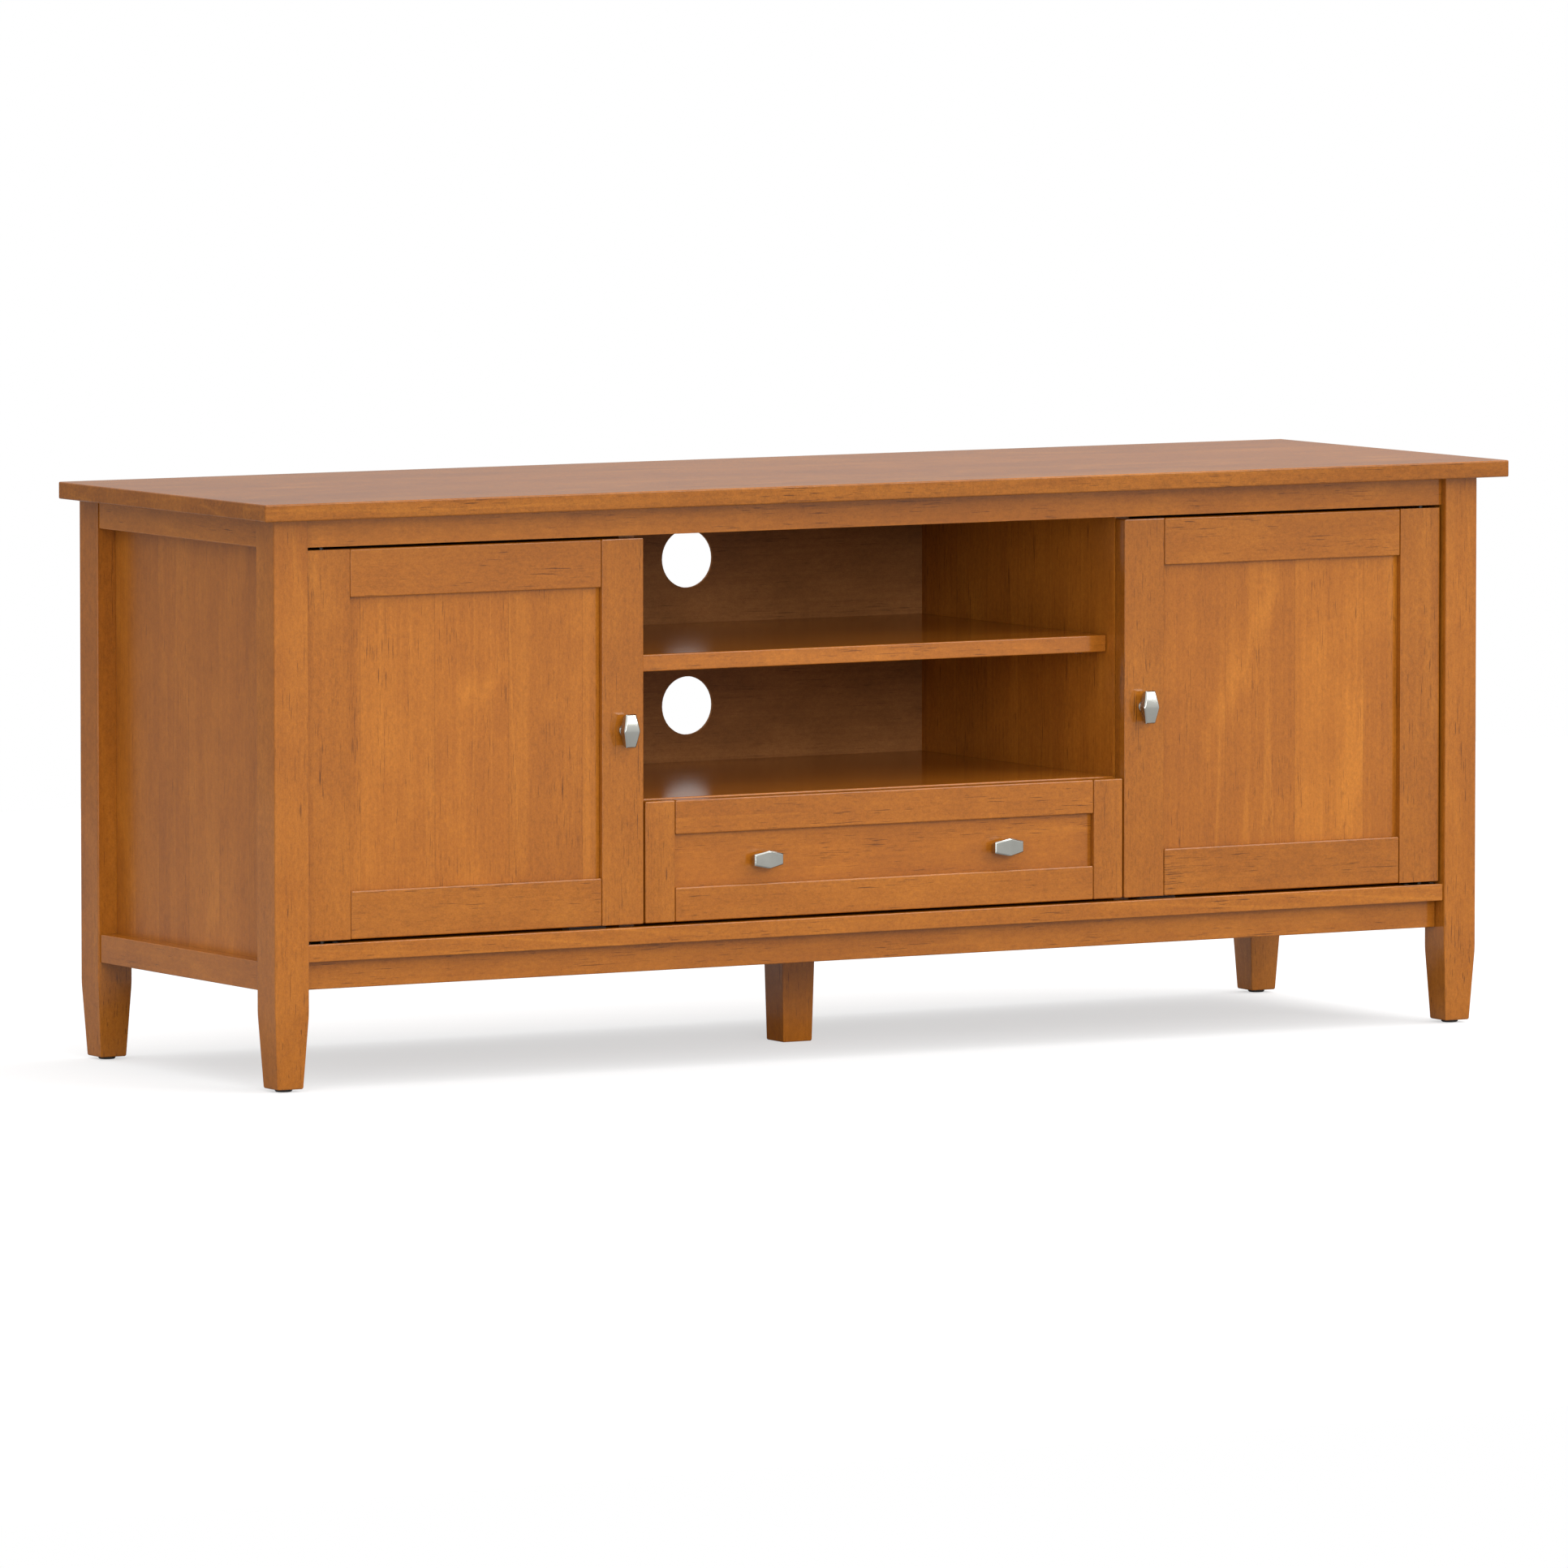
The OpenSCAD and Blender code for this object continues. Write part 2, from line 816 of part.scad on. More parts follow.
module drawer_side() {
  difference() {
    span([box_x - drawer_side_t, face_back, box_z],
      [box_x, face_back + drawer_l, box_z + drawer_side_h]);
    span([box_x - drawer_side_t - over, face_back - over, box_bottom_z],
      [box_x - drawer_side_t + box_groove, face_back + drawer_l + over,
        box_bottom_z + drawer_bottom_t]);
  }
}

module drawer_side_left() {
  color(pale_wood) mirror([1, 0, 0]) drawer_side();
}

module drawer_side_right() {
  color(pale_wood) drawer_side();
}

module drawer_back() {
  x = box_x - drawer_side_t;
  y = face_back + drawer_l;
  color(pale_wood) span([-x, y - drawer_side_t, box_bottom_z + drawer_bottom_t],
    [x, y, box_z + drawer_side_h]);
}

module drawer_bottom() {
  x = box_x - drawer_side_t + box_groove - panel_play;
  color(pale_wood) span([-x, face_back, box_bottom_z],
    [x, face_back + drawer_l, box_bottom_z + drawer_bottom_t]);
}

module drawer_knobs() {
  color(nickel) both_sides() translate([drawer_knob_x, panel_front, drawer_knob_z])
    rotate([0, 90, 0]) knob();
}

module runner_inner() {
  color(zinc) both_sides() translate([box_x, 0, runner_z]) mirror([1, 0, 0])
    channel(in_h, in_reach);
}

module drawer_screws() {
  color(zinc) both_sides() translate([drawer_knob_x, panel_front, drawer_knob_z])
    knob_screw(inset_t);
}

top_panel();
post_front_left();
post_front_right();
post_back_left();
post_back_right();
leg_glides();
centre_leg();
front_apron();
back_top_rail();
side_top_rail_left();
side_top_rail_right();
side_bottom_rail_left();
side_bottom_rail_right();
front_skirt();
back_skirt();
side_panel_left();
side_panel_right();
bottom_board();
divider_left();
divider_right();
drawer_deck();
niche_shelf();
cabinet_shelf_left();
cabinet_shelf_right();
shelf_pins();
back_panel();
runner_outer();
pivot_plates();
door_catches();
carcass_screws();
runner_middle();
door_left_hinge_stile();
door_left_latch_stile();
door_left_top_rail();
door_left_bottom_rail();
door_left_panel();
door_left_knob();
door_left_strike();
door_left_screws();
door_right_hinge_stile();
door_right_latch_stile();
door_right_top_rail();
door_right_bottom_rail();
door_right_panel();
door_right_knob();
door_right_strike();
door_right_screws();
drawer_stile_left();
drawer_stile_right();
drawer_top_rail();
drawer_bottom_rail();
drawer_panel();
drawer_side_left();
drawer_side_right();
drawer_back();
drawer_bottom();
drawer_knobs();
runner_inner();
drawer_screws();
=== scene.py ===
import json
import math

import bmesh
import bpy
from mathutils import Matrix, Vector


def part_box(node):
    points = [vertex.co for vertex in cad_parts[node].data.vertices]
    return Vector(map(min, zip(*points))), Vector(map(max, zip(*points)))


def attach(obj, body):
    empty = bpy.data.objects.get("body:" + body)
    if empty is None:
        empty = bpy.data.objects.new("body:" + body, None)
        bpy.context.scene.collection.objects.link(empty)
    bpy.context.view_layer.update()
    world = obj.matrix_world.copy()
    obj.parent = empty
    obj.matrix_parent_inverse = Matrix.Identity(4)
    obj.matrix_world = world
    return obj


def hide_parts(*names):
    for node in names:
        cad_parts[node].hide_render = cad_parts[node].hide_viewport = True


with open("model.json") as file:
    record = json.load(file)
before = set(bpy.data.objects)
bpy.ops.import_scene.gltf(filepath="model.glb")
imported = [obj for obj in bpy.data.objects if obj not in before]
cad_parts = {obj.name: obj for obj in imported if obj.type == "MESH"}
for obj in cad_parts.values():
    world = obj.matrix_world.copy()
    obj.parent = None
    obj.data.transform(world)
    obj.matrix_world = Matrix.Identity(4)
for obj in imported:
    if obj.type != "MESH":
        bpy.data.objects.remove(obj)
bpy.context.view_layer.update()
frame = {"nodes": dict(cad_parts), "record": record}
print("frame loaded:", len(frame["nodes"]), "nodes")


# a socket that can be added, multiplied and compared
class Wire:
    def __init__(self, net, socket):
        self.net, self.socket = net, socket

    def sum(self, kind, *others):
        values = dict(enumerate((self, *others)))
        return self.net.node("ShaderNodeMath", {"operation": kind}, values)

    def __add__(self, other):
        return self.sum("ADD", other)

    def __mul__(self, other):
        return self.sum("MULTIPLY", other)

    def __sub__(self, other):
        return self.sum("SUBTRACT", other)

    def __rsub__(self, other):
        return self.net.node("ShaderNodeMath", {"operation": "SUBTRACT"}, {0: other, 1: self})

    def __truediv__(self, other):
        return self.sum("DIVIDE", other)

    __radd__ = __add__
    __rmul__ = __mul__


# a node tree that is written as expressions
class Net:
    def __init__(self, name):
        self.material = bpy.data.materials.new(name)
        self.material.use_nodes = True
        self.tree = self.material.node_tree
        self.shader = self.tree.nodes["Principled BSDF"]

    def node(self, kind, settings=None, values=None, out=0):
        made = self.tree.nodes.new(kind)
        for key, value in (settings or {}).items():
            if key == "stops":
                ramp = made.color_ramp.elements
                while len(ramp) < len(value):
                    ramp.new(0.5)
                for element, (at, shade) in zip(ramp, value):
                    element.position, element.color = at, shade
            else:
                setattr(made, key, value)
        for key, value in (values or {}).items():
            if isinstance(value, Wire):
                self.tree.links.new(value.socket, made.inputs[key])
            else:
                made.inputs[key].default_value = value
        return Wire(self, made.outputs[out])

    def place(self):
        return self.node("ShaderNodeTexCoord", out="Object")

    def split(self, vector):
        made = self.node("ShaderNodeSeparateXYZ", None, {0: vector}).socket.node
        return [Wire(self, made.outputs[i]) for i in range(3)]

    def join(self, x, y, z):
        return self.node("ShaderNodeCombineXYZ", None, {0: x, 1: y, 2: z})

    def noise(self, x, y, z, detail=2.0, rough=0.5):
        return self.node("ShaderNodeTexNoise", None, {
            "Vector": self.join(x, y, z), "Scale": 1.0, "Detail": detail, "Roughness": rough})

    # even noise with so many steps per metre
    def cloudy(self, steps):
        return self.noise(*(axis * steps for axis in self.split(self.place())))

    def ramp(self, fac, *stops):
        grey = [(at, (v, v, v, 1)) for at, v in stops]
        return self.node("ShaderNodeValToRGB", {"stops": grey}, {0: fac})

    def blend(self, fac, a, b, kind="MIX"):
        return self.node("ShaderNodeMix", {"data_type": "RGBA", "blend_type": kind},
                         {0: fac, 6: a, 7: b}, out=2)

    def bump(self, height, strength, depth):
        return self.node("ShaderNodeBump", None,
                         {"Strength": strength, "Distance": depth, "Height": height})

    def shaded(self, colour, shade):
        return self.node("ShaderNodeVectorMath", {"operation": "SCALE"}, {0: colour, "Scale": shade})

    def finish(self, **sockets):
        for key, value in sockets.items():
            socket = self.shader.inputs[key.replace("_", " ")]
            if isinstance(value, Wire):
                self.tree.links.new(value.socket, socket)
            else:
                socket.default_value = value
        return self.material


# stain colours and what they are on
stain = {
    "pale": (0.400, 0.134, 0.013, 1),    # open early wood that took little stain
    "honey": (0.315, 0.098, 0.009, 1),   # the usual colour
    "brown": (0.235, 0.069, 0.008, 1),   # dense late wood and thirsty patches
    "pore": (0.065, 0.018, 0.003, 1),    # stain left in the pores
}
lacquer = {"roughness": 0.55, "coat": 0.8, "coatRoughness": 0.13, "ior": 1.5}
# how strongly each feature of the wood shows
figuring = {"ring": 0.62, "patch": 0.6, "cloud": 0.65, "vein": 0.55, "pore": 0.72, "speck": 0.40,
            "mottle": 0.56, "glueLine": 0.22, "wander": 0.026, "relief": 0.10, "reliefDepth": 0.0003}

# every noise in the wood: steps per metre along and across the grain, detail, roughness
strands = {"wander": (1.3, 4.0, 1.5, 0.5), "fine": (7.0, 60.0, 3.0, 0.5), "flame": (1.6, 17.0, 1.0, 0.5),
           "streak": (3.0, 210.0, 3.0, 0.6), "patch": (15.0, 25.0, 4.0, 0.62),
           "cloud": (2.2, 7.0, 2.0, 0.5), "speck": (600.0, 750.0, 1.0, 0.5),
           "mottle": (150.0, 260.0, 3.0, 0.65), "thread": (1.3, 24.0, 1.5, 0.4),
           "dash": (34.0, 1000.0, 1.0, 0.5), "group": (6.0, 40.0, 2.0, 0.5)}


# grain is the axis the fibres run along, across the one that glued planks lie side by side on
def timber(name, grain, seed, plank=0.0, across=None, figure=1.0, toneAndPaintedLight=1.0, rings=120.0,
           stains=stain, coat=None, gloss=None, poreAmount=1.0):
    net = Net(name)
    axes = dict(zip("XYZ", net.split(net.place())))
    across = across or {"X": "Z", "Y": "Z", "Z": "X"}[grain]
    depth = ({"X", "Y", "Z"} - {grain, across}).pop()
    # u runs along the grain, v across the planks, w through the board
    u, v, w = axes[grain] + seed * 1.37, axes[across] + seed * 0.731, axes[depth] + seed * 0.419

    # each glued plank is cut from another place in the log, shifted by three random draws
    width = plank or 0.31
    board = (v / width).sum("FLOOR")
    edge = ((v / width).sum("FRACT") - 0.5).sum("ABSOLUTE")
    seam = net.ramp(edge, (0.492, 0.0), (0.5, 1.0)) if plank else None
    s1, s2, s3 = net.split(net.node("ShaderNodeTexWhiteNoise", {"noise_dimensions": "1D"},
                                    {"W": board + seed * 0.37}, out=1))

    def fibres(kind, **shifts):
        along, over, detail, coarse = strands[kind]
        spots = {"u": u * along, "v": v * over, "w": w * over}
        for axis, shift in shifts.items():
            spots[axis] = spots[axis] + shift
        return net.noise(*spots.values(), detail, coarse)

    # growth rings: cylinders about a pith that wanders slowly along the log
    wander = fibres("wander", u=s1 * 9, w=s2 * 7)
    fine = fibres("fine", u=s2 * 5, w=s3 * 5)
    side = (v - (board + 0.5) * width) * 0.8 + (s1 - 0.5) * 0.16    # side and deep: from the pith
    deep = w * 0.5 + 0.05 + s2 * 0.06
    radius = (side * side + deep * deep).sum("SQRT") + wander * (figuring["wander"] * figure)
    radius = radius + fine * 0.0035
    ring = net.ramp(((radius + u * (0.09 * (s3 - 0.5))) * rings + s3 * 4).sum("FRACT"),
                    (0.0, 0.70), (0.46, 0.55), (0.58, 0.0), (0.68, 0.45), (1.0, 0.70))

    # flames are where the rings show; veins and pores run in short lines along the grain
    flames = net.ramp(fibres("flame", u=s1 * 13), (0.46, 0.0), (0.62, 1.0))
    streak, speck, mottle = fibres("streak", u=s3 * 11), fibres("speck"), fibres("mottle")
    patch, cloud = fibres("patch", v=s1 * 5), fibres("cloud", u=s2 * 3)
    thread = (fibres("thread", u=s2 * 17) - 0.5).sum("ABSOLUTE")
    vein = net.ramp(thread, (0.0, 1.0), (0.022, 0.0))
    crowd = (fibres("group", u=s2 * 9) - 0.5) * 0.40
    pore = net.ramp(fibres("dash", u=s1 * 30) + crowd, (0.68, 0.0), (0.76, 1.0))

    dark = (ring - 0.5) * flames * (figuring["ring"] * figure) + (streak - 0.5) * (0.22 + 0.22 * figure)
    dark = dark + (patch - 0.5) * figuring["patch"] + (cloud - 0.5) * figuring["cloud"]
    dark = dark + 0.5 - flames * (0.10 * figure)
    body = net.blend(net.ramp(dark, (0.12, 0.0), (0.52, 1.0)), stains["pale"], stains["honey"])
    body = net.blend(net.ramp(dark, (0.50, 0.0), (0.95, 1.0)), body, stains["brown"])
    body = net.blend(vein * flames * (figuring["vein"] * figure), body, stains["pale"])
    body = net.blend(pore * (figuring["pore"] * poreAmount), body, stains["pore"])
    shade = (speck - 0.5) * figuring["speck"] + (mottle - 0.5) * figuring["mottle"]
    # the kind's brightness, which on some kinds is painted light or shade, noted where each kind is made
    shade = shade + toneAndPaintedLight + (s1 - 0.5) * (0.07 if plank else 0.03)
    if seam:
        shade = shade * (1 - seam * figuring["glueLine"])
    rough = (streak - 0.5) * 0.10 + (lacquer["roughness"] + pore * 0.15)

    # pores and glue lines lie a little below the surface
    height = 0.5 - pore * 0.6 + (fine - 0.5) * 0.2 + (speck - 0.5) * 0.10
    if seam:
        height = height - seam * 0.3
    return net.finish(Base_Color=net.shaded(body, shade), Roughness=rough, IOR=lacquer["ior"],
                      Specular_IOR_Level=0.0, Coat_Weight=lacquer["coat"] if coat is None else coat,
                      Coat_Roughness=lacquer["coatRoughness"] if gloss is None else gloss,
                      Normal=net.bump(height, figuring["relief"], figuring["reliefDepth"]))


# grain axis, seed, width of the glued planks and the axis they lie along, then what sets each kind
# apart; straight and plain boards show less figure; on some kinds the brightness is painted light or shade
straight = {"figure": 0.5, "rings": 110}
plain = {"figure": 0.4, "rings": 110}
wood = {
    # painted shade: the top is made darker so that the strong light from above does not wash it out
    "top": timber("topWood", "X", 1, plank=0.092, across="Y", figure=0.8, coat=0.68, toneAndPaintedLight=0.76),
    "rail": timber("railWood", "X", 2, across="Z", **straight, toneAndPaintedLight=0.98),
    "sideRail": timber("sideRailWood", "Y", 3, across="Z", **straight),
    "post": timber("postWood", "Z", 4, across="X", **straight, toneAndPaintedLight=0.94),
    # painted light: the centre leg is made brighter to lift the shadow under the cabinet
    "legStrips": timber("legStripWood", "Z", 16, plank=0.0205, across="X", **straight, toneAndPaintedLight=1.24),
    "stile": timber("stileWood", "Z", 5, across="X", **straight, toneAndPaintedLight=0.90),
    "doorRail": timber("doorRailWood", "X", 6, across="Z", **plain, toneAndPaintedLight=0.94),
    # painted shade: the door bottom rails are made darker, as less light falls on them from above
    "lowRail": timber("lowRailWood", "X", 17, across="Z", **plain, toneAndPaintedLight=0.87),
    "doorPanel": timber("doorPanelWood", "Z", 7, plank=0.088, across="X", figure=1.1),
    "sidePanel": timber("sidePanelWood", "Z", 8, plank=0.066, across="Y", figure=0.9, gloss=0.3, toneAndPaintedLight=1.03),
    "drawerPanel": timber("drawerPanelWood", "X", 9, across="Z", figure=0.9, toneAndPaintedLight=1.03),
    "shelf": timber("shelfWood", "X", 10, plank=0.085, across="Y", figure=0.8, coat=0.9, toneAndPaintedLight=1.02),
    # painted light: the dividers are made brighter to lift the shade inside the niches
    "divider": timber("dividerWood", "Z", 11, plank=0.064, across="Y", figure=0.8, coat=0.9, toneAndPaintedLight=1.12),
    "board": timber("boardWood", "X", 12, plank=0.09, across="Y", figure=0.8, toneAndPaintedLight=0.90),
}
plyStain = {"pale": (0.37, 0.155, 0.050, 1), "honey": (0.26, 0.104, 0.032, 1),
            "brown": (0.155, 0.060, 0.020, 1), "pore": (0.05, 0.02, 0.01, 1)}
wood["back"] = timber("backPly", "X", 13, across="Z", figure=0.5, toneAndPaintedLight=1.06, rings=60, stains=plyStain,
                      coat=0.12, gloss=0.3, poreAmount=0.7)
boxStain = {"pale": (0.74, 0.55, 0.34, 1), "honey": (0.66, 0.47, 0.27, 1),
            "brown": (0.55, 0.36, 0.19, 1), "pore": (0.3, 0.18, 0.09, 1)}
wood["boxSide"] = timber("boxSideWood", "Y", 14, across="Z", figure=0.8, stains=boxStain, coat=0.3)
wood["boxBack"] = timber("boxBackWood", "X", 15, across="Z", figure=0.8, stains=boxStain, coat=0.3)
print("timber made:", len(wood), "kinds")


# fine brushing along one axis, with handling smudges; along, across and smudge are steps per metre
brushing = {"along": 120, "across": 5200, "smudge": 70, "smudgeShade": 0.10, "smudgeMatt": 0.16,
            "lineMatt": 0.08, "relief": 0.05, "reliefDepth": 0.0001}


def metal(name, colour, rough, brush, axis):
    net = Net(name)
    ways = zip("XYZ", net.split(net.place()))
    lines = net.noise(*(spot * brushing["along" if way == axis else "across"] for way, spot in ways))
    smudge = net.cloudy(brushing["smudge"])
    shade = (lines - 0.5) * brush + (smudge - 0.5) * brushing["smudgeShade"] + 1.0
    matt = (smudge - 0.5) * brushing["smudgeMatt"] + (lines - 0.5) * brushing["lineMatt"] + rough
    return net.finish(Base_Color=net.shaded(colour, shade), Metallic=1.0, Roughness=matt,
                      Normal=net.bump(lines, brushing["relief"], brushing["reliefDepth"]))


# fine grit and wear, for moulded parts; grit and wear are steps per metre
moulding = {"grit": 1500, "wear": 60, "gritShade": 0.2, "wearShade": 0.3, "wearMatt": 0.2,
            "relief": 0.2, "reliefDepth": 0.0002}


def plastic(name, colour, rough):
    net = Net(name)
    grit, wear = net.cloudy(moulding["grit"]), net.cloudy(moulding["wear"])
    shade = (grit - 0.5) * moulding["gritShade"] + (wear - 0.5) * moulding["wearShade"] + 1.0
    return net.finish(Base_Color=net.shaded(colour, shade),
                      Roughness=(wear - 0.5) * moulding["wearMatt"] + rough,
                      Normal=net.bump(grit, moulding["relief"], moulding["reliefDepth"]))


# colour, roughness, then how strong the brushing is and its axis
nickel = metal("satinNickel", (0.42, 0.42, 0.385), 0.13, 0.06, "X")
zinc = metal("zincPlate", (0.60, 0.62, 0.64), 0.34, 0.16, "Y")
oxide = metal("blackOxide", (0.035, 0.032, 0.03), 0.4, 0.2, "X")
glidePlastic = plastic("glidePlastic", (0.03, 0.027, 0.025), 0.55)
catchPlastic = plastic("catchPlastic", (0.34, 0.34, 0.345), 0.45)


# faces with many holes in them keep the CAD's own triangles
drilled = {"bottom_board", "divider_left", "divider_right", "side_panel_left", "side_panel_right",
           "pivot_plates", "door_left_latch_stile", "door_right_latch_stile"}

# one merged mesh from a CAD node; a crack draws back the end faces, or the shoulders one step in,
# so that the joint shows as a fine line
def cleanMesh(node, crack=None):
    mesh = frame["nodes"][node].data.copy()
    mesh.materials.clear()
    bm = bmesh.new()
    bm.from_mesh(mesh)
    bmesh.ops.remove_doubles(bm, verts=bm.verts, dist=1e-6)
    if node not in drilled:
        bmesh.ops.dissolve_limit(bm, angle_limit=math.radians(0.5), verts=bm.verts, edges=bm.edges)
    if crack:
        axis, width, step = crack
        levels = sorted({round(v.co[axis], 5) for v in bm.verts})
        low, high = levels[step], levels[-1 - step]
        for v in bm.verts:
            v.co[axis] += width * ((abs(v.co[axis] - low) < 2e-5) - (abs(v.co[axis] - high) < 2e-5))
    bm.to_mesh(mesh)
    bm.free()
    return mesh


def bodyOf(node):
    return next(b for b, members in frame["record"]["behaviour"]["bodies"].items() if node in members)


# puts a finished mesh in place of a CAD node
def stand(name, mesh, material, node):
    piece = bpy.data.objects.new(name, mesh)
    bpy.context.scene.collection.objects.link(piece)
    mesh.materials.clear()
    mesh.materials.append(material)
    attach(piece, bodyOf(node))
    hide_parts(node)
    return piece


# how edges are rounded: from which angle in degrees, and how flat faces keep their shading
boards = {"angle": 30, "weight": 90, "mode": "FACE_AREA_WITH_ANGLE"}
castings = {"angle": 24, "weight": 60, "mode": "FACE_AREA"}


def soften(piece, width, segments, kind):
    piece.data.shade_smooth()
    bevel = piece.modifiers.new("ease", "BEVEL")
    bevel.width, bevel.segments = width, segments
    bevel.limit_method, bevel.angle_limit = "ANGLE", math.radians(kind["angle"])
    normals = piece.modifiers.new("faces", "WEIGHTED_NORMAL")
    normals.keep_sharp, normals.weight, normals.mode = True, kind["weight"], kind["mode"]


# a piece that keeps the CAD node's shape
def eased(node, material, width, segments=2, crack=None):
    piece = stand(node + ".eased", cleanMesh(node, crack), material, node)
    soften(piece, width, segments, boards)


# radius of the rounded edges in metres
easing = {"top": 0.0007, "post": 0.0007, "frame": 0.0015, "panel": 0.0004, "board": 0.0014,
          "rail": 0.0011, "box": 0.0010, "thin": 0.0004}
plan = {
    "top_panel": ("top", "top"),
    "front_apron": ("rail", "rail"), "front_skirt": ("rail", "rail"), "back_skirt": ("rail", "rail"),
    "back_top_rail": ("rail", "rail"), "bottom_board": ("board", "board"),
    "centre_leg": ("legStrips", "post"), "drawer_deck": ("shelf", "board"),
    "niche_shelf": ("shelf", "board"),
    "back_panel": ("back", "thin"), "drawer_top_rail": ("doorRail", "frame"),
    "drawer_bottom_rail": ("doorRail", "frame"), "drawer_panel": ("drawerPanel", "panel"),
    "drawer_back": ("boxBack", "box"), "drawer_bottom": ("boxBack", "thin"),
}
for side in ("left", "right"):
    plan.update({
        f"post_front_{side}": ("post", "post"), f"post_back_{side}": ("post", "post"),
        f"side_top_rail_{side}": ("sideRail", "rail"), f"side_bottom_rail_{side}": ("sideRail", "rail"),
        f"side_panel_{side}": ("sidePanel", "panel"), f"divider_{side}": ("divider", "board"),
        f"cabinet_shelf_{side}": ("shelf", "board"), f"drawer_stile_{side}": ("stile", "frame"),
        f"drawer_side_{side}": ("boxSide", "box"), f"door_{side}_hinge_stile": ("stile", "frame"),
        f"door_{side}_latch_stile": ("stile", "frame"), f"door_{side}_top_rail": ("doorRail", "frame"),
        f"door_{side}_bottom_rail": ("lowRail", "frame"), f"door_{side}_panel": ("doorPanel", "panel"),
    })
# joints drawn back by wood kind: axis, width in metres, step of the end levels
crack = {"doorRail": (0, 0.0006, 1), "lowRail": (0, 0.0006, 1), "sideRail": (1, 0.0003, 0),
         "rail": (0, 0.0003, 0), "sidePanel": (1, 0.0003, 0)}
for node, (kind, ease) in plan.items():
    eased(node, wood[kind], easing[ease], crack=crack.get(kind))
print("timber pieces eased:", len(plan))

for node in ("runner_outer", "runner_middle", "runner_inner",
             "door_left_strike", "door_right_strike"):
    eased(node, zinc, 0.0002, 1)
eased("leg_glides", glidePlastic, 0.0004)
eased("door_catches", catchPlastic, 0.0008)
eased("pivot_plates", oxide, 0.0003, 1)
print("fittings eased")


# a six-sided block with a bowed face, a bevelled rim and walls that taper back to a turned neck
knob = {"length": 0.0352, "width": 0.0196, "endWidth": 0.012, "out": 0.018, "bow": 0.0025,
        "bowPower": 1.5, "block": 0.0115, "rim": 0.0013, "rimSlope": 1.1, "taper": 0.0016, "steps": 18,
        "neck": ((0.0065, 0.0), (0.0065, 0.001), (0.0055, 0.0025), (0.0055, 0.005), (0.0064, 0.0067)),
        "ease": 0.00035, "neckSides": 28}


# foot is where the neck meets the wood, along the axis of the knob's length
def addKnob(bm, foot, along):
    across = Vector((0, 0, 1)) if along.x else Vector((1, 0, 0))
    out, half, n = Vector((0, -1, 0)), knob["length"] / 2, knob["steps"]

    def outline(inset, depth):
        sides = []
        for turn in (1, -1):
            for i in range(n + 1):
                t = (-1 + 2 * i / n) * turn
                swell = (knob["width"] - knob["endWidth"]) / 2 * (1 - abs(t))
                wide = knob["endWidth"] / 2 + swell - inset
                spot = foot + along * t * (half - inset) + across * wide * turn + out * depth(t)
                sides.append(bm.verts.new(spot))
        return sides

    def face(t):
        return knob["out"] - knob["bow"] * abs(t) ** knob["bowPower"]

    loops = [outline(knob["taper"], lambda t: knob["out"] - knob["block"]),
             outline(0, lambda t: face(t) - knob["rim"] * knob["rimSlope"]),
             outline(knob["rim"], face)]
    count = len(loops[0])
    for a, b in zip(loops, loops[1:]):
        for i in range(count):
            bm.faces.new((a[i], a[(i + 1) % count], b[(i + 1) % count], b[i]))
    for loop in (loops[0], loops[-1]):
        for i in range(n):
            bm.faces.new((loop[i], loop[i + 1], loop[count - 2 - i], loop[count - 1 - i]))
    turns = [2 * math.pi * k / knob["neckSides"] for k in range(knob["neckSides"])]
    rings = [[bm.verts.new(foot + out * depth
                           + (across * math.cos(turn) + along * math.sin(turn)) * radius)
              for turn in turns] for radius, depth in knob["neck"]]
    for a, b in zip(rings, rings[1:]):
        for k in range(len(turns)):
            bm.faces.new((a[k], a[k - 1], b[k - 1], b[k]))
    bm.faces.new(rings[0])
    bm.faces.new(rings[-1])


# one knob, or two at the ends of the CAD node's box
def knobs(node, along):
    low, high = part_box(node)
    foot = Vector(((low.x + high.x) / 2, high.y, (low.z + high.z) / 2))
    reach = (high.x - low.x - knob["length"]) / 2 if along.x else 0
    bm = bmesh.new()
    for x in sorted({-reach, reach}):
        addKnob(bm, foot + Vector((x, 0, 0)), along)
    bmesh.ops.recalc_face_normals(bm, faces=bm.faces)
    mesh = bpy.data.meshes.new(node)
    bm.to_mesh(mesh)
    bm.free()
    soften(stand(node + ".cast", mesh, nickel, node), knob["ease"], 3, castings)


for side in ("left", "right"):
    knobs(f"door_{side}_knob", Vector((0, 0, 1)))
knobs("drawer_knobs", Vector((1, 0, 0)))
print("knobs made")


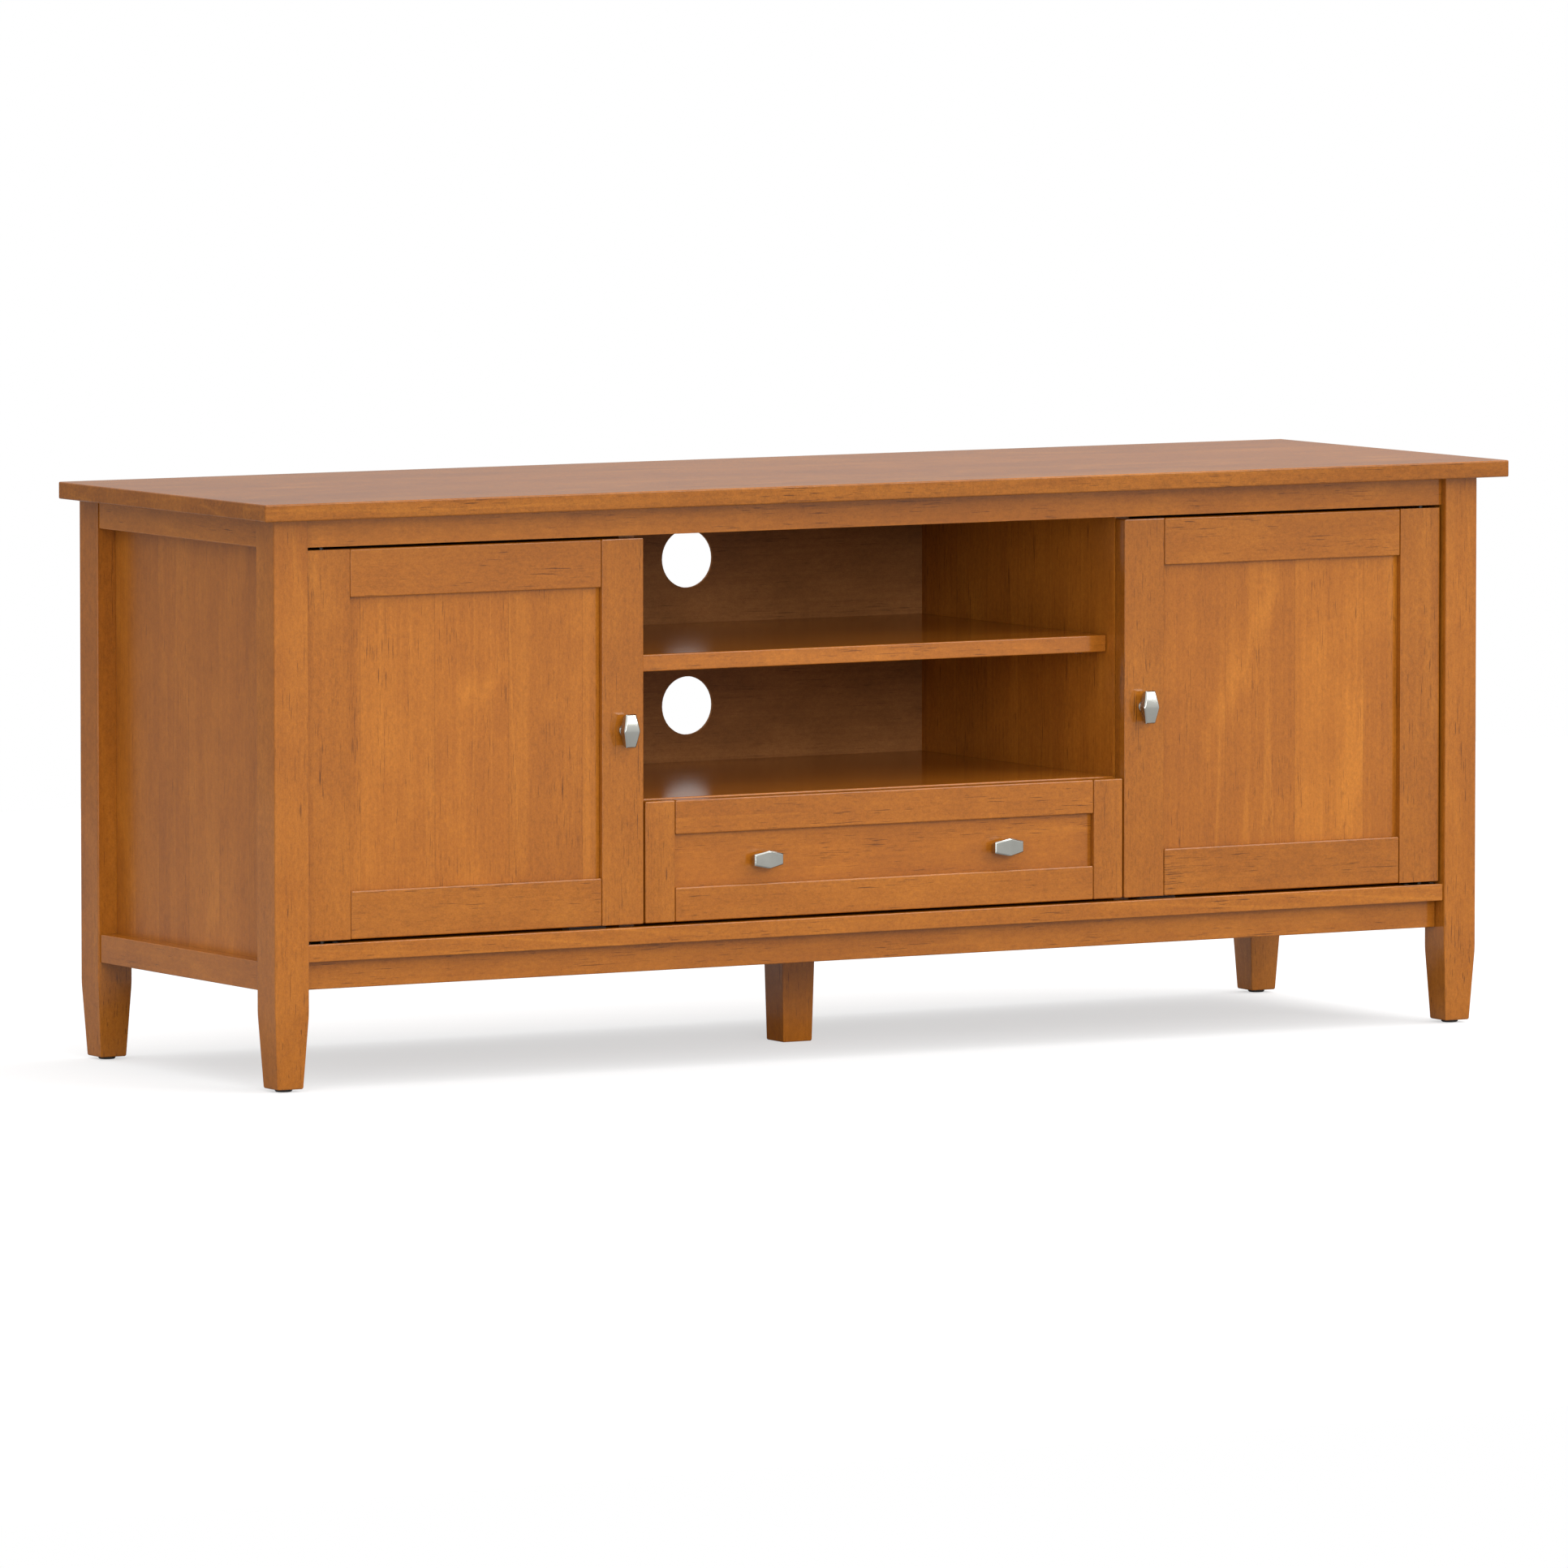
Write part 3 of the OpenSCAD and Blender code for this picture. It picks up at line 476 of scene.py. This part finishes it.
# a Geometry Nodes tree that sets one unit on many points and turns it to their aim
class Grower(Net):
    def __init__(self, name, *numbers):
        self.tree = bpy.data.node_groups.new(name, "GeometryNodeTree")
        self.keys = {"Points": self.socket("Points", "Geometry")}
        for label in numbers:
            self.keys[label] = self.socket(label, "Float")
        self.keys["Material"] = self.socket("Material", "Material")
        self.socket("Geometry", "Geometry", "OUTPUT")
        self.start = self.tree.nodes.new("NodeGroupInput")

    def socket(self, label, kind, way="INPUT"):
        made = self.tree.interface.new_socket(label, in_out=way, socket_type="NodeSocket" + kind)
        return made.identifier

    def given(self, label):
        return Wire(self, self.start.outputs[label])

    def gather(self, *parts):
        made = self.tree.nodes.new("GeometryNodeJoinGeometry")
        for part in parts:
            self.tree.links.new(part.socket, made.inputs[0])
        return Wire(self, made.outputs[0])

    def shift(self, part, z):
        return self.node("GeometryNodeTransform", None,
                         {"Geometry": part, "Translation": self.join(0, 0, z)})

    def cone(self, foot, top, height, z, sides):
        part = self.node("GeometryNodeMeshCone", None, {
            "Vertices": sides, "Radius Bottom": foot, "Radius Top": top, "Depth": height})
        return self.shift(part, z)

    def close(self, unit):
        aim = self.node("GeometryNodeInputNamedAttribute", {"data_type": "FLOAT_VECTOR"},
                        {"Name": "aim"})
        turn = self.node("FunctionNodeAlignRotationToVector", {"axis": "Z"}, {"Vector": aim})
        many = self.node("GeometryNodeInstanceOnPoints", None,
                         {"Points": self.given("Points"), "Instance": unit, "Rotation": turn})
        whole = self.node("GeometryNodeRealizeInstances", None, {0: many})
        done = self.node("GeometryNodeSetMaterial", None,
                         {0: whole, "Material": self.given("Material")})
        end = self.tree.nodes.new("NodeGroupOutput")
        self.tree.links.new(done.socket, end.inputs[0])
        return self

    # spots are (place, aim) pairs
    def grow(self, spots, material, numbers):
        seeds = bpy.data.meshes.new(self.tree.name)
        seeds.from_pydata([place for place, aim in spots], [], [])
        aims = seeds.attributes.new("aim", "FLOAT_VECTOR", "POINT")
        for item, (place, aim) in zip(aims.data, spots):
            item.vector = aim
        host = bpy.data.objects.new(self.tree.name, seeds)
        bpy.context.scene.collection.objects.link(host)
        grown = host.modifiers.new("grow", "NODES")
        grown.node_group = self.tree
        for label, value in {**numbers, "Material": material}.items():
            grown[self.keys[label]] = value
        settled = host.evaluated_get(bpy.context.evaluated_depsgraph_get())
        mesh = bpy.data.meshes.new_from_object(settled)
        bpy.data.objects.remove(host)
        return mesh


# recess is times the head's top radius, recessDepth times the head's height, arm times the recess,
# proud is how far a flush head shows, skirts are the straight part of a pan and of a flush head
screwLook = {"recess": 1.15, "recessDepth": 0.372, "arm": 0.22, "proud": 0.0003, "panSkirt": 0.4,
             "flushSkirt": 0.1, "pointLength": 1.2, "pointWidth": 0.06, "headSides": 24, "shankSides": 12}


# a head with a cross recess, its seat, a shank and a point, with the head's top at the origin
def screwTree():
    labels = ("Top Radius", "Head Radius", "Dome", "Skirt", "Shank Radius", "Shank Length",
              "Recess", "Recess Depth")
    tree = Grower("crossScrew", *labels)
    top, head, dome, skirt, shank, length, recess, depth = (tree.given(label) for label in labels)
    sides, thin, arm = screwLook["headSides"], screwLook["shankSides"], recess * screwLook["arm"]
    crown = tree.cone(head, top, dome, 0 - dome, sides)
    arms = [tree.node("GeometryNodeMeshCube", None, {"Size": tree.join(*size)})
            for size in ((recess, arm, depth * 2), (arm, recess, depth * 2))]
    cut = tree.tree.nodes.new("GeometryNodeMeshBoolean")
    cut.operation, cut.solver = "DIFFERENCE", "EXACT"
    tree.tree.links.new(crown.socket, cut.inputs["Mesh 1"])
    for bar in arms:
        tree.tree.links.new(bar.socket, cut.inputs["Mesh 2"])
    seat = tree.cone(head, head, skirt, 0 - dome - skirt, sides)
    point = shank * screwLook["pointLength"]
    stem = tree.cone(shank, shank, length - point, point - dome - skirt - length, thin)
    tip = tree.cone(shank * screwLook["pointWidth"], shank, point, 0 - dome - skirt - length, thin)
    return tree.close(tree.gather(Wire(tree, cut.outputs["Mesh"]), seat, stem, tip))


pinLook = {"bevel": 0.0005, "sides": 20}


# a plain pin with bevelled ends, its outer end at the origin
def pinTree():
    tree = Grower("shelfPin", "Radius", "Length", "Bevel")
    radius, length, bevel = tree.given("Radius"), tree.given("Length"), tree.given("Bevel")
    sides = pinLook["sides"]
    middle = tree.cone(radius, radius, length - bevel * 2, bevel - length, sides)
    return tree.close(tree.gather(middle, tree.cone(radius, radius - bevel, bevel, 0 - bevel, sides),
                                  tree.cone(radius - bevel, radius, bevel, 0 - length, sides)))


# the separate bodies of a CAD node: the place and aim of each one's wide end, and its levels, which
# are (distance from that end, radius) pairs
def shells(node):
    bm = bmesh.new()
    bm.from_mesh(frame["nodes"][node].data)
    bmesh.ops.remove_doubles(bm, verts=bm.verts, dist=1e-6)
    seen, found = set(), []
    for first in bm.verts:
        if first in seen:
            continue
        seen.add(first)
        stack, group = [first], []
        while stack:
            vert = stack.pop()
            group.append(vert.co.copy())
            for edge in vert.link_edges:
                other = edge.other_vert(vert)
                if other not in seen:
                    seen.add(other)
                    stack.append(other)
        # the aim is the long axis, towards the end with the widest ring of corners
        low = Vector([min(c[i] for c in group) for i in range(3)])
        high = Vector([max(c[i] for c in group) for i in range(3)])
        axis = max(range(3), key=lambda i: (high - low)[i])
        middle, aim = (low + high) / 2, Vector([float(i == axis) for i in range(3)])

        def radius(c):
            return (c - middle - aim * (c - middle).dot(aim)).length

        wide = max(group, key=lambda c: round(radius(c), 6))
        if wide[axis] < middle[axis]:
            aim = -aim
        place = middle + aim * (high - low)[axis] / 2
        levels = sorted({(round((place - c).dot(aim), 5), round(radius(c), 5)) for c in group})
        found.append((place, aim, levels))
    bm.free()
    return found


# edges sharper than this many degrees stay crisp on screws and pins
crispAngle = 32


# several grown meshes as one
def joined(name, meshes):
    bm = bmesh.new()
    for mesh in meshes:
        bm.from_mesh(mesh)
        bpy.data.meshes.remove(mesh)
    whole = bpy.data.meshes.new(name)
    bm.to_mesh(whole)
    bm.free()
    whole.shade_smooth()
    whole.set_sharp_from_angle(angle=math.radians(crispAngle))
    return whole


# sizes of the screws in a CAD node, and where each size stands
def screwKinds(node):
    kinds = {}
    for place, aim, levels in shells(node):
        length, head = levels[-1][0], max(r for d, r in levels)
        top = max(r for d, r in levels if d < 1e-4)
        shank = min(r for d, r in levels if 1e-4 < d < length - 1e-4)
        high = min(d for d, r in levels if abs(r - shank) < 2e-5)
        kinds.setdefault((length, head, top, shank, high), []).append((place, aim))
    return kinds


crossScrew, shelfPin = screwTree(), pinTree()


def grownScrews(length, head, top, shank, high, spots):
    pan = top < head
    skirt = high * screwLook["panSkirt" if pan else "flushSkirt"]
    if not pan:
        spots = [(place + aim * screwLook["proud"], aim) for place, aim in spots]
    return crossScrew.grow(spots, zinc, {
        "Top Radius": top, "Head Radius": head if pan else shank, "Dome": high - skirt if pan else high,
        "Skirt": skirt, "Shank Radius": shank, "Shank Length": length - high - (0 if pan else skirt),
        "Recess": top * screwLook["recess"], "Recess Depth": high * screwLook["recessDepth"]})


for node in ("door_left_screws", "door_right_screws", "drawer_screws", "carcass_screws"):
    kinds = screwKinds(node)
    meshes = [grownScrews(*sizes, spots) for sizes, spots in kinds.items()]
    stand(node + ".crossHead", joined(node, meshes), zinc, node)
    print("screws grown:", node, sum(len(spots) for spots in kinds.values()))

pins = shells("shelf_pins")
pinLength, pinRadius = max(pins[0][2])
pinMesh = shelfPin.grow([(place, aim) for place, aim, levels in pins], zinc,
                        {"Radius": pinRadius, "Length": pinLength, "Bevel": pinLook["bevel"]})
stand("shelf_pins.turned", joined("shelf_pins", [pinMesh]), zinc, "shelf_pins")
print("shelf pins grown:", len(pins))

# place in metres, turn to the right and tilt down in degrees, lens in millimetres
view = {"place": (-7.681457, -13.004348, 1.522085), "turn": 30.534, "tilt": 4.719, "lens": 326.202484}
eye = bpy.data.cameras.new("eye")
eye.sensor_width, eye.sensor_fit = 36.0, "HORIZONTAL"
eye.lens = view["lens"]
eye.clip_start, eye.clip_end = 0.5, 200.0
camera = bpy.data.objects.new("camera", eye)
camera.location = view["place"]
camera.rotation_euler = (math.radians(90 - view["tilt"]), 0, math.radians(-view["turn"]))
bpy.context.scene.collection.objects.link(camera)
bpy.context.scene.camera = camera
print("camera set")

# floor glow is seen by the camera only; the sky brightens towards a direction, down to a least value
studio = {"floorGlow": 0.57, "floorShade": 0.36, "floorSize": 3.0, "mottle": 3.0, "mottleShade": 0.004,
          "skyMean": 0.68, "skyTowards": (0.0, -0.36, 1.15), "skyLeast": 0.42, "backdrop": 1.0}


# pale floor, lifted a little where it is seen so that the shadow on it stays light
def floorMaterial():
    net = Net("paleFloor")
    shade = (net.cloudy(studio["mottle"]) - 0.5) * studio["mottleShade"] + studio["floorShade"]
    seen = net.node("ShaderNodeLightPath", out="Is Camera Ray")
    return net.finish(Base_Color=net.join(shade, shade, shade), Roughness=0.9, Specular_IOR_Level=0.0,
                      Emission_Color=net.join(seen, seen, seen),
                      Emission_Strength=studio["floorGlow"])


bm = bmesh.new()
bmesh.ops.create_grid(bm, x_segments=1, y_segments=1, size=studio["floorSize"])
floorMesh = bpy.data.meshes.new("floor")
bm.to_mesh(floorMesh)
bm.free()
floor = bpy.data.objects.new("floor", floorMesh)
bpy.context.scene.collection.objects.link(floor)
floorMesh.materials.append(floorMaterial())

world = bpy.data.worlds.new("studio")
bpy.context.scene.world = world
world.use_nodes = True


# a soft dome, brightest in front and above; the backdrop itself is white
class Sky(Net):
    def __init__(self, tree):
        self.tree = tree


sky = Sky(world.node_tree)
skyward = sky.node("ShaderNodeTexCoord", out="Generated")
facing = sky.node("ShaderNodeVectorMath", {"operation": "DOT_PRODUCT"},
                  {0: skyward, 1: studio["skyTowards"]}, out="Value")
dome = (facing + studio["skyMean"]).sum("MAXIMUM", studio["skyLeast"])
seen = sky.node("ShaderNodeLightPath", out="Is Camera Ray")
strength = dome * (1 - seen) + seen * studio["backdrop"]
background = world.node_tree.nodes["Background"]
background.inputs["Color"].default_value = (1, 1, 1, 1)
world.node_tree.links.new(strength.socket, background.inputs["Strength"])

# place and aim in metres, size is width and height
softboxes = {
    "front": dict(place=(-1.7, -6.4, 1.9), aim=(0, 0, 0.3), size=(2.4, 1.6), watts=122),
    "key": dict(place=(2.9, -5.0, 2.6), aim=(0, 0, 0.4), size=(2.2, 2.0), watts=84),
    "overhead": dict(place=(2.1, -0.5, 3.8), aim=(0, 0, 0.5), size=(2.4, 3.0), watts=85),
    "edge": dict(place=(-2.1, -1.4, 0.37), aim=(0, -0.2, 0.33), size=(0.5, 0.7), watts=4.3),
}
for name, box in softboxes.items():
    lamp = bpy.data.lights.new(name, "AREA")
    lamp.shape, lamp.size, lamp.size_y = "RECTANGLE", *box["size"]
    lamp.energy = box["watts"]
    holder = bpy.data.objects.new(name, lamp)
    holder.location = box["place"]
    holder.visible_camera = False
    gaze = Vector(box["aim"]) - Vector(box["place"])
    holder.rotation_euler = gaze.to_track_quat("-Z", "Y").to_euler()
    bpy.context.scene.collection.objects.link(holder)
bpy.context.scene.view_settings.view_transform = "Standard"
print("studio set")
